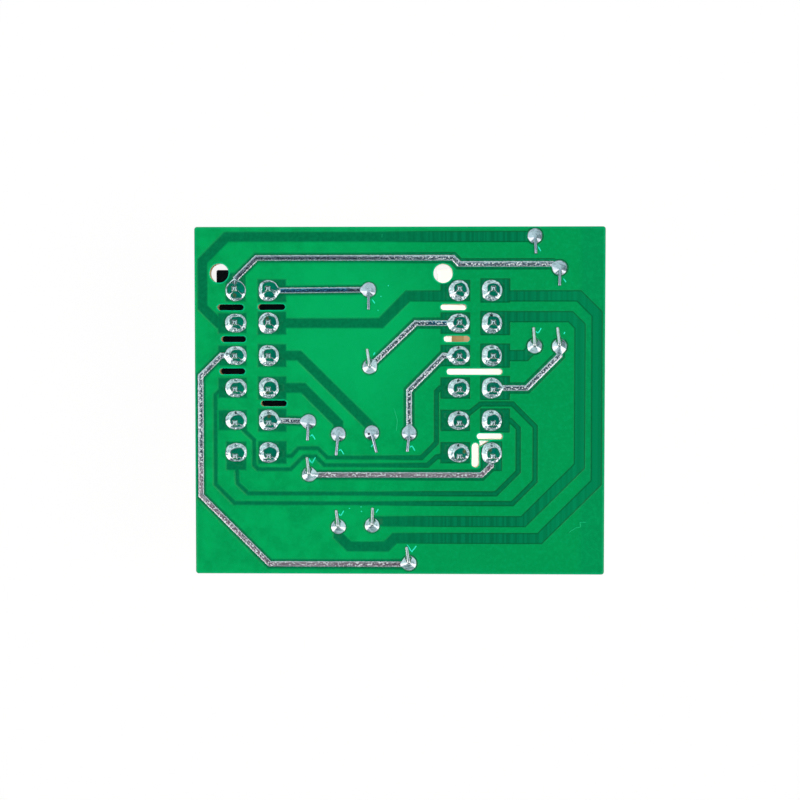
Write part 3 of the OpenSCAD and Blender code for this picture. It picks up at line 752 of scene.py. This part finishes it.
def bead(name, outline, seed):
    """One strip's solder, as a closed skin that swells from the copper."""
    edge = resample(outline, 0.16)
    jag = lumps(edge, 0.3, seed + 7) * 0.035
    edge = edge + (offset(edge, 1.0) - edge) * jag[:, None]
    rings = [edge] + [offset(edge, -inset) for inset in BEAD_INSETS]
    flat, triangles = triangulate(rings)
    triangles = triangles[inside(flat[triangles].mean(1), edge)]
    depth = distance(flat, edge, 1.0)
    tight, wide = BEAD_RADIUS
    radius = tight + (wide - tight) * smooth(flat[:, 1], -8, -4)
    waves = 0.4 * lumps(flat, 0.6, seed) + 0.6 * lumps(flat, 0.25, seed + 3)
    grow = smooth(flat[:, 0], -8, 14) * smooth(flat[:, 1], 0, 12)
    heights = COPPER_TOP + BEAD_EDGE + rounded(depth / radius) * (BEAD_RISE + (0.01 + 0.03 * grow) * waves)
    points, faces, used = closed_skin(flat, triangles, heights, COPPER_TOP - SUNK)
    piece = add_piece(name, points, faces, TRACK_TIN, "solder")
    blue = np.max([smooth(gap(flat, (x, y)), size, size * 0.6) for x, y, size in BLUE_ZONES], axis=0)
    glossy = smooth(flat[:, 1], 12.5, 13.5) * smooth(flat[:, 0], 4, -6)
    store_skin(piece, used, crown=smooth(depth, 0.4 * radius, 0.8 * radius), blue=0.85 * blue,
               dull=1 - 0.9 * glossy)
    return piece


beads = [bead(f"tinned_strip_{i + 1}", ring, 10.0 * i) for i, ring in enumerate(strip_loops)]
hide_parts("track_tinning")


# %% [markdown]
# ## Solder joints of the pins
# Molten solder climbs the pin, so a joint is a hollow-sided cone: gentle at its rim, steep against
# the pin. A gentle slope mirrors the pale cards, and a steep one is painted teal-green, a painted
# reflection of the green lacquer. It climbs less at the pin's two front corners, where bright legs
# run down. A cone of revolution would mirror perfect rings. Here each joint is a field of heights
# on rays, so that its slopes and ripples can change round the circle.

# %% Joint: a closed field of heights
STEPS = 30
TAIL_HALF = 0.32
GENTLE = 0.42
STEEP = 1.25


def mound(rim, core, rise, low):
    """A closed field of heights. rise(place, inward) gives heights from the rim, 0, to the core, 1."""
    points = [(x, y, low) for x, y in rim]
    for step in range(STEPS + 1):
        inward = (step / STEPS) ** 1.15
        place = rim + (core - rim) * inward
        points += [(x, y, z) for (x, y), z in zip(place, rise(place, inward))]
    return points, ring_faces(STEPS + 2, RAYS)


def gather(shapes):
    """One list of points and one of faces, from many."""
    points = []
    faces = []
    for more_points, more_faces in shapes:
        start = len(points)
        points += more_points
        faces += [tuple(i + start for i in face) for face in more_faces]
    return points, faces


def climbed(inward, start, width=0.16):
    """How far the steep part has climbed: 0 before its start, then a soft turn into a straight rise."""
    u = np.clip((inward - start) / width, 0, 1)
    return width * (u ** 3 - u ** 4 / 2) + np.maximum(inward - start - width, 0)


# %% Joint: one for every pin
STEEP_START = {("left", 0, 0): 0.14, ("left", 1, 0): 0.24, ("right", 0, 5): 0.46, ("right", 1, 5): 0.44}
STREAKS = {("left", 0, 0): (98, 17), ("left", 1, 0): (-8, 11), ("left", 1, 4): (-14, 9),
           ("right", 1, 3): (2, 9)}
FRONT, LEFT_LEG, RIGHT_LEG = -90, -141, -34
FULL_LEG = 1.16


def pin_joint(place):
    """The cone of solder round one pin."""
    _, pin, rim, seed = JOINTS[place]
    core = pin + ROUND * squarish(TAIL_HALF - 0.03, 8)[:, None]
    span = np.linalg.norm(rim - core, axis=1)
    front = swell(FRONT, 36)
    start = STEEP_START.get(place, 0.44) + 0.1 * front + 0.09 * lumps(ROUND, 0.7, seed + 5)
    start = start - 0.13 * ROUND[:, 0] * (0.5 if place == ("left", 0, 0) else 1.0)
    leg = swell(LEFT_LEG, 17) + swell(RIGHT_LEG, 13)
    if place in STREAKS:
        leg = leg + FULL_LEG * swell(*STREAKS[place])
    leg = np.clip(leg, 0, FULL_LEG)
    steep = (STEEP if place not in STEEP_START else 0.95) * (1 - 0.86 * leg)
    feet = 0.9 * steep * np.clip(swell(LEFT_LEG, 30) + swell(RIGHT_LEG, 27), 0, 1)
    notch = swell(93, 10) * (0.1 if place[2] > 0 else 0.0)

    def rise(place, inward):
        edge = 0.05 * rounded(inward / 0.07)
        calm = math.sin(math.pi * min(inward, 1)) ** 0.5 * float(smooth(inward, 0.75, 0.35))
        ripples = 0.042 * lumps(place, 0.42, seed + 1) + 0.026 * lumps(place, 0.17, seed + 2)
        rough = 0.08 * lumps(place, 0.2, seed + 3) + 0.05 * lumps(place, 0.1, seed + 4)
        outer = float(smooth(inward, 0.62, 0.35))
        dent = notch * math.exp(-((inward - 0.22) / 0.08) ** 2)
        climb = steep * climbed(inward, start) - feet * climbed(inward, 0.82, 0.05)
        slope = span * (GENTLE * inward + climb)
        return COPPER_TOP + 0.01 + edge + slope + calm * (ripples + front * rough * outer) - dent

    return mound(rim, core, rise, COPPER_TOP - SUNK)


# %% Joint: stains, painted reflection and painted shade
# Teal-green on the steep slopes is a painted reflection of the lacquer. Amber spots, and near-black spots
# of painted shade in the notch dents: joint, turn, distance, size.
AMBER = [(("left", 0, 0), -95, 0.6, 0.32), (("left", 1, 1), 100, 0.6, 0.32),
         (("left", 1, 4), 80, 0.55, 0.32), (("right", 1, 5), 120, 0.42, 0.32),
         (("left", 1, 3), -100, 0.55, 0.32), (("right", 0, 5), 15, 0.75, 0.32)]
SHADED_NOTCHES = [((side, column, row), 93, 0.98, size) for side, column, row, size in (
    ("left", 0, 4, 0.19), ("right", 0, 2, 0.17), ("right", 0, 3, 0.19), ("right", 0, 4, 0.16),
    ("right", 0, 5, 0.19), ("right", 1, 1, 0.22))]


def spots(piece, marks):
    """1 at spots that lie at a turn and a distance from a joint's hole, fading round each of them."""
    middles = np.array([v.co[:2] for v in piece.data.vertices]) / MM
    depth = np.zeros(len(middles))
    for place, turn, reach, size in marks:
        middle = JOINTS[place][0] + reach * np.array([math.cos(turn * DEGREE), math.sin(turn * DEGREE)])
        depth = np.maximum(depth, smooth(gap(middles, middle), size, size * 0.45))
    return depth


# %% Joint: the pieces
for side in SIDES:
    shapes = [pin_joint(place) for place in JOINTS if place[0] == side]
    joints = add_piece(f"{side}_pin_joints", *gather(shapes), SOLDER, "solder")
    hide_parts(f"{side}_header_solder")
    upward = np.array([v.normal.z for v in joints.data.vertices])
    # Teal-green on the steep slopes: a painted reflection of the green lacquer.
    store(joints, "green_reflection", smooth(upward, 0.83, 0.65))
    store(joints, "amber", 0.55 * spots(joints, AMBER))
    # Near-black spots over the notch dents of some joints: painted shade.
    store(joints, "pit_shade", 0.85 * spots(joints, SHADED_NOTCHES))
    peak = max(v.co.z for v in joints.data.vertices) / MM
    print("highest point in mm:", round(peak, 2))


# %% [markdown]
# ## Solder on the pins' ends
# Each pin's sawn end is wetted too: a thin cap of solder with a small flat middle and sloping
# shoulders, steeper towards the front. Without it the ends are dark squares, because a flat end
# mirrors only what is straight overhead.

# %% Pin caps
CAP_HALF = 0.36
CAP_FLAT = 0.08
CAP_TOP = PIN_TOP + 0.15
CAP_PROFILE = [(1.0, 1.2), (1.0, 0.4), (0.97, 0.165), (0.86, 0.128), (0.55, 0.058), (0.34, 0.016)]


def pin_cap(pin, seed):
    """The skin of solder over one pin's end. The profile gives shares of its width, and drops."""
    steep = 0.3 * swell(FRONT, 26)
    edge = squarish(CAP_HALF, 9) * (1 + 0.03 * lumps(ROUND, 0.7, seed))
    flat = CAP_FLAT * (1 + 0.4 * lumps(ROUND, 0.9, seed + 1)) + 0.02 * swell(FRONT, 40)
    points = []
    for share, drop in CAP_PROFILE:
        ring = pin + ROUND * (edge * share)[:, None]
        slant = steep * max(share - 0.45, 0) if drop < 1 else 0 * steep
        points += [(x, y, CAP_TOP - drop - down) for (x, y), down in zip(ring, slant)]
    ring = pin + ROUND * flat[:, None]
    points += [(x, y, CAP_TOP - 0.002) for x, y in ring]
    points.append((pin[0], pin[1], CAP_TOP))
    last = len(CAP_PROFILE) * RAYS
    *walls, bottom, _ = ring_faces(len(CAP_PROFILE) + 1, RAYS)
    peak = [(last + i, last + (i + 1) % RAYS, last + RAYS) for i in range(RAYS)]
    return points, walls + peak + [bottom]


for side, pins in zip(SIDES, np.split(pin_middles, 2)):
    shapes = [pin_cap(pin, 9.0 * i) for i, pin in enumerate(pins)]
    add_piece(f"{side}_pin_caps", *gather(shapes), SOLDER, "solder")


# %% [markdown]
# ## Jumper wires
# Each jumper is one bare tinned wire under the board. Its two ends come up through small holes, are
# soldered, and were bent over and cut so that they can't fall out before soldering. The route is
# read off the CAD wire: the legs stand over the wire holes, and the ends are its furthest points.
# A tube is swept along the route. Where a lead was bent over, it is a little flatter.

# %% Routes of the wires
WIRE_RADIUS = 0.25
LONGEST_LEAD = 3
LEAD_HALF = {"back": (0.225, 0.2), "front": (0.25, 0.2)}
LEAD_RISE = {"back": (0.38, 0.26), "front": (0.5, 0.13)}
BEND_RADIUS = 0.4
BEND_STEPS = 6
BENT_ABOVE = LACQUER_TOP + 0.15
TIP_STEPS = (-0.12, -0.07, 0.02, 0.5, 0.9)
SIDES_OF_TUBE = 14


def wire_route(name):
    """Leg, tip and name of both ends of a wire, the height of its run below, and its middle in Y."""
    cloud = np.array([v.co for v in nodes[name].data.vertices]) / MM
    low, high = box(name)
    legs = [hole for hole in wire_holes if np.all(hole > low[:2] - 0.3) and np.all(hole < high[:2] + 0.3)]
    ends = []
    for leg in legs:
        above = cloud[(cloud[:, 2] > LACQUER_TOP) & (gap(cloud[:, :2], leg) < LONGEST_LEAD)]
        away = gap(above[:, :2], leg)
        ends.append((leg, above[away > away.max() - 0.12].mean(0)))
    middle = sum(leg[1] for leg, _ in ends) / 2
    ends = [(leg, tip, "back" if leg[1] > middle else "front") for leg, tip in ends]
    return ends, low[2] + WIRE_RADIUS, middle


def bend(start, corner, end, radius):
    """Points of a rounded corner between two straight runs."""
    into, out = unit(start - corner), unit(end - corner)
    half = math.acos(np.clip(into @ out, -1, 1)) / 2
    cut = radius / math.tan(half)
    first, last = corner + into * cut, corner + out * cut
    return [first * (1 - t) ** 2 + 2 * corner * t * (1 - t) + last * t * t
            for t in np.linspace(0, 1, BEND_STEPS + 1)]


def wire_path(name):
    """Points along a wire from tip to tip, and the tube's half width and half height at each."""
    ends, run, _ = wire_route(name)
    parts = []
    for (leg, tip, end), (other, _, _) in (ends, ends[::-1]):
        over_leg, at_tip = LEAD_RISE[end]
        top = np.array([*leg, LACQUER_TOP + over_leg])
        tip = np.array([*tip[:2], LACQUER_TOP + at_tip])
        foot = np.array([*leg, run])
        elbow = bend(foot, top, tip, BEND_RADIUS * 0.9)[::-1]
        outward = unit(tip - elbow[0])
        straight = [tip - outward * back for back in TIP_STEPS]
        part = straight + elbow + bend(top, foot, np.array([*other, run]), BEND_RADIUS)
        halves = [np.array(LEAD_HALF[end] if place[2] > BENT_ABOVE else (WIRE_RADIUS, WIRE_RADIUS))
                  for place in part]
        halves[0] = halves[0] * 0.7
        halves[1] = halves[1] * 0.93
        parts.append(list(zip(part, halves)))
    return zip(*parts[0], *parts[1][::-1])


def tube(path, halves):
    """A closed tube along a path. halves are its half width and half height at each of its points."""
    points = []
    path = [np.array(p, float) for p in path]
    sideways = None
    for i, (place, (wide, tall)) in enumerate(zip(path, halves)):
        way = unit(path[min(i + 1, len(path) - 1)] - path[max(i - 1, 0)])
        if sideways is None:
            sideways = np.cross(way, (0, 0, 1))
        sideways = unit(sideways - way * (sideways @ way))
        other = np.cross(way, sideways)
        for a in np.linspace(0, 2 * math.pi, SIDES_OF_TUBE, endpoint=False):
            points.append(place + sideways * wide * math.cos(a) + other * tall * math.sin(a))
    return points, ring_faces(len(path), SIDES_OF_TUBE)


# %% Wires
for name in WIRES:
    path, halves = wire_path(name)
    middle = wire_route(name)[2]
    points, faces = tube(path, halves)
    wire = add_piece(name.replace("jumper_wire", "bare_wire"), points, faces, WIRE_PLATE, "tinned_wire")
    # The bent-over back ends are painted greyer lilac: painted shade.
    store(wire, "dull", [y > middle and z > LACQUER_TOP for _, y, z in points])
    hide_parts(name)
    print("length in mm:", round(sum(np.linalg.norm(b - a) for a, b in zip(path, path[1:])), 1))


# %% [markdown]
# ## Solder on the jumper wires
# These joints are smaller: a round pool that runs up the wire and out along the bent end, like a
# bud. A dome would lack the fillet between wire and pool, so the heights are the higher of a cone
# about the leg and a ridge under the bent end. The back ones froze duller and drown the bend, and
# one of them has a near-black spot, painted shade of a pit that is not modelled.

# %% Jumper joints
PIT_AT = (-0.36, -0.16)
PITTED = ("jumper_wire_4", "back")
FROZE_DULL = {"back": 1.0, "front": 0.4}
WIRE_SOLDER = {"back": (0.45, 0.0, 0.3, 0.2, 0.16), "front": (0.4, 0.02, 0.5, 0.1, 0.2)}
strip_points = [point for ring in strip_loops for point in resample(ring, 0.2)]


def wire_joint(leg, tip, end, seed):
    """The pool of solder round one leg of a wire, with a ridge towards its tip."""
    way = unit(tip[:2] - leg)
    cone, summit, crest, shift, top = WIRE_SOLDER[end]
    lean = math.degrees(math.atan2(way[1], way[0]))
    reach = WIRE_POOL * (1 + 0.04 * lumps(ROUND, 0.8, seed)) + 0.1 * swell(lean, 20)
    touching = [point for point in strip_points if np.linalg.norm(point - leg) < 1.15]
    if touching:
        towards = np.mean(touching, axis=0) - leg
        reach = reach + 0.22 * swell(math.degrees(math.atan2(towards[1], towards[0])), 24)
    rim = leg + ROUND * reach[:, None]
    core = leg + way * shift + ROUND * top

    def rise(place, inward):
        along = (place - leg) @ way
        off = np.abs((place - leg) @ np.array([-way[1], way[0]]))
        ridge = crest * np.exp(-((off / 0.4) ** 2)) * smooth(along, -0.3, 0.3) * smooth(inward, 0.0, 0.45)
        shape = cone * inward + summit * inward ** 4
        edge = 0.07 * rounded(inward / 0.08)
        ripples = 0.014 * lumps(place, 0.35, seed + 1) * math.sin(math.pi * inward)
        return COPPER_TOP + 0.01 + edge + np.maximum(shape, ridge) + ripples

    return mound(rim, core, rise, COPPER_TOP - SUNK)


shapes = []
dull = []
pit_shade = []
for name in WIRES:
    for leg, tip, end in wire_route(name)[0]:
        shapes.append(wire_joint(leg, tip, end, 17.0 * len(shapes)))
        places = np.array(shapes[-1][0])[:, :2]
        dull += [FROZE_DULL[end]] * len(places)
        # A near-black spot at one back joint: painted shade of a pit that is not modelled.
        pit = smooth(gap(places, leg + PIT_AT), 0.2, 0.12)
        pit_shade += list(pit * ((name, end) == PITTED))
pools = add_piece("wire_joints", *gather(shapes), SOLDER, "solder")
store(pools, "dull", dull)
store(pools, "pit_shade", pit_shade)
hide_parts("jumper_solder")
print("wire joints:", len(shapes))


# %% [markdown]
# ## Painted reflections beside the leads
# Beside each bent-over lead lies a small bright tick, open towards the middle of the lead, and some
# leads have a few bright specks too: painted reflections of the lead in the lacquer. Each is a thin
# round raised line, half sunk in the lacquer. A few hair scratches lie elsewhere.

# %% Ticks beside the leads
USUAL_TICK = [(0.32, -0.4), (0.56, -0.68), (0.98, 0.0)]
TICKS = {(1, "back"): [(0.45, -1.2), (0.8, -0.68)], (1, "front"): [(0.77, -0.72), (1.0, -0.38)],
         (2, "front"): [(0.1, 0.12), (0.6, -0.75), (1.08, 0.1)],
         (4, "back"): [(-0.35, -1.12), (-0.67, -0.57)], (4, "front"): [(0.42, -0.62), (0.72, -0.1)],
         (5, "front"): [(0.03, 0.36), (0.66, -0.57), (1.25, 0.21)],
         (6, "back"): [(0.27, -0.82), (0.64, -0.18)], (7, "back"): [(0.5, -0.8), (0.85, -0.32)],
         (7, "front"): [(0.98, -0.49), (0.79, -0.79)]}
SPECKS = {(1, "back"): [(1.2, 0.2), (1.58, -1.57), (2.5, -2.94)], (3, "front"): [(1.69, 0.27)],
          (4, "front"): [(-1.49, 0.16), (-1.44, -0.42)]}
RAISED_TOP = BOARD_TOP + FILM + 0.02
TICK_RADIUS = 0.08
SCRATCH_RADIUS = 0.05
SPECK_HALF = np.array([0.06, 0.03])


def raised_stroke_finish(name, dark, light):
    """Pale raised lacquer: scratches, whose broken edge scatters light, and painted reflections of the
    leads.
    """
    finish = Finish(name)
    grain = finish.noise(0.15, 2)
    return finish.surface(finish.mix(grain, dark, light), height=grain, depth=0.01,
                          Roughness=0.35 + 0.2 * grain, Specular_IOR_Level=0.2)


def raised_line(places, radius):
    """A thin raised line of lacquer along a few places, thinner at its ends."""
    places = [np.array(place, float) for place in places]
    path = [a + (b - a) * t for a, b in zip(places, places[1:]) for t in (0.0, 0.3, 0.6, 0.9)]
    path.append(places[-1])
    radii = [radius * (0.5 if i in (0, len(path) - 1) else 1.0) for i in range(len(path))]
    return tube([(x, y, RAISED_TOP) for x, y in path], [(r, r) for r in radii])


shapes = []
for number, name in enumerate(WIRES, 1):
    for _, tip, end in wire_route(name)[0]:
        flip = np.array([1, -1 if end == "back" else 1])
        tick = [tip[:2] + np.array(step) * flip for step in TICKS.get((number, end), USUAL_TICK)]
        shapes.append(raised_line(tick, TICK_RADIUS))
        for step in SPECKS.get((number, end), []):
            middle = tip[:2] + np.array(step) * flip
            shapes.append(raised_line([middle - SPECK_HALF, middle + SPECK_HALF], TICK_RADIUS))
# Bright cyan: painted reflections of the leads in the lacquer.
lead_reflections = raised_stroke_finish("painted_lead_reflections", (10, 226, 184), (60, 255, 226))
add_piece("painted_reflection_ticks", *gather(shapes), lead_reflections, "solder_mask")
print("ticks and specks:", len(shapes))


# %% Hair scratches
SCRATCHES = [[(21.6, -16.9), (22.6, -16.2), (23.2, -16.1), (23.1, -15.5), (23.9, -15.5)],
             [(-0.68, -0.91), (-0.27, -2.45), (-0.39, -3.83)], [(-2.21, 21.46), (-2.21, 20.8)],
             [(17.44, 8.23), (17.93, 7.74)], [(20.6, 8.2), (21.07, 7.8)]]
scratched = raised_stroke_finish("scratched_lacquer", (0, 176, 104), (16, 200, 134))
shapes = [raised_line(line, SCRATCH_RADIUS) for line in SCRATCHES]
add_piece("hair_scratches", *gather(shapes), scratched, "solder_mask")
print("scratches:", len(SCRATCHES))


# %% [markdown]
# ## Camera
# The board is looked at from almost straight above, a little from the back right.

# %% Camera
EYE = np.array([3.8, 7.0, LACQUER_TOP + 180.0])
AIM = np.array([0.08, 0.14, LACQUER_TOP])
lens = bpy.data.cameras.new("camera")
lens.sensor_width = 36
lens.lens = 63.42
lens.clip_start = 0.01
camera = put("camera", lens)
camera.location = EYE * MM
back = unit(EYE - AIM)
right = unit(np.cross((0, 1, 0), back))
camera.rotation_euler = Matrix(np.stack([right, np.cross(back, right), back], 1).tolist()).to_euler()
bpy.context.scene.camera = camera
print("camera at", EYE.tolist(), "mm")


# %% [markdown]
# ## Light
# Green lacquer is lit evenly by a pale world and by one soft lamp beside the lens, which also
# reaches down the slots. Solder shows only what it mirrors, so cards stand all round it: a dark one
# overhead, banded pale ones, a dark skirt low down, and two bright boxes at the front left and
# right. Only mirror-like rays see the cards, so they shape the metal and leave the rest alone.

# %% World and lamps
AMBIENT = 0.13
view = bpy.context.scene.view_settings
view.view_transform = "Standard"
world = bpy.data.worlds.new("studio")
world.use_nodes = True
bpy.context.scene.world = world
sky = Graph(world.node_tree)
strength = AMBIENT + (1 - AMBIENT) * sky.looked_at()
light = sky.add("Background", {"Color": (1, 1, 1, 1), "Strength": strength})
sky.end(light[0], "OutputWorld")


def soft_lamp(name, energy, spread, turn):
    """A distant lamp that lights the matt surfaces and leaves no spot in the metal."""
    sun = bpy.data.lights.new(name, "SUN")
    sun.energy = energy
    sun.angle = math.radians(spread)
    lamp = put(name, sun)
    lamp.rotation_euler = turn
    lamp.visible_glossy = False


soft_lamp("lens_lamp", 2.45, 4, camera.rotation_euler)
soft_lamp("left_lamp", 0.15, 30, (0.3, -0.9, 0))
soft_lamp("right_lamp", 0.6, 30, (0.1, 0.85, 0))


# %% Cards for the metal
CARD_REACH = 600
CARD_STEP = 5


def on_dome(turn, zenith):
    """A point of a large dome round the board, from its turn and its angle from straight up."""
    turn, zenith = turn * DEGREE, zenith * DEGREE
    return (CARD_REACH * math.sin(zenith) * math.cos(turn), CARD_REACH * math.sin(zenith) * math.sin(turn),
            LACQUER_TOP + CARD_REACH * math.cos(zenith))


def card(name, turns, zeniths, colour, strength, share=1.0):
    """Part of the dome that only mirror-like rays see."""
    finish = Finish(name)
    finish.end(finish.add("Emission", {"Color": srgb(colour), "Strength": strength})[0])
    us, vs = [np.linspace(*span, int((span[1] - span[0]) / CARD_STEP) + 1) for span in (turns, zeniths)]
    points = [np.array(on_dome(u, v)) * share for v in vs for u in us]
    faces = [(j * len(us) + i, j * len(us) + i + 1, (j + 1) * len(us) + i + 1, (j + 1) * len(us) + i)
             for j in range(len(vs) - 1) for i in range(len(us) - 1)]
    piece = put_mesh(name, points, faces, finish.material)
    for ray in ("camera", "diffuse", "transmission", "volume_scatter", "shadow"):
        setattr(piece, f"visible_{ray}", False)
    return piece


BANDS = ((15, 32), (32, 45), (45, 56), (56, 66))


def banded_sky(name, turns, tones, share):
    """Cards above each other, brighter and dimmer by turns, so that a rippled metal glitters."""
    for number, (zeniths, tone) in enumerate(zip(BANDS, tones)):
        strength = 1.1 if number == 2 else 1.0
        card(f"{name}_{number + 1}", turns, zeniths, (tone - 20, tone + 7, tone + 7), strength, share)


banded_sky("sky_card", (-180, 180), (232, 184, 236, 150), 1.1)
banded_sky("left_card", (132, 192), (246, 216, 248, 200), 0.95)
banded_sky("right_card", (-20, 46), (238, 190, 238, 160), 0.95)
banded_sky("front_card", (-132, -44), (160, 138, 214, 158), 1.0)
card("overhead_card", (-180, 180), (0.5, 22), (42, 64, 70), 1.0, 0.9).rotation_euler.x = 0.1
card("skirt_card", (-180, 180), (66, 89.5), (50, 66, 72), 1.0, 1.0)
card("front_left_box", (-170, -132), (25, 80), (255, 255, 255), 1.6, 0.88)
card("front_right_box", (-46, -20), (25, 80), (255, 255, 255), 1.6, 0.88)


# %% Floor
def floor_finish():
    """Pale floor: partly its own light for the rays that look at it, so that it stays white."""
    finish = Finish("pale_floor")
    paper = finish.add("BsdfDiffuse", {"Color": (0.95, 0.95, 0.95, 1)})[0]
    glow = finish.add("Emission", {"Color": (1, 1, 1, 1), "Strength": 1.0})[0]
    finish.end(finish.add("MixShader", (finish.looked_at() * 0.9, paper, glow))[0])
    return finish.material


FLOOR_REACH = 6000
corners = [(x * FLOOR_REACH, y * FLOOR_REACH, -0.2) for x, y in ((-1, -1), (1, -1), (1, 1), (-1, 1))]
floor = put_mesh("floor", corners, [(0, 1, 2, 3)], floor_finish())
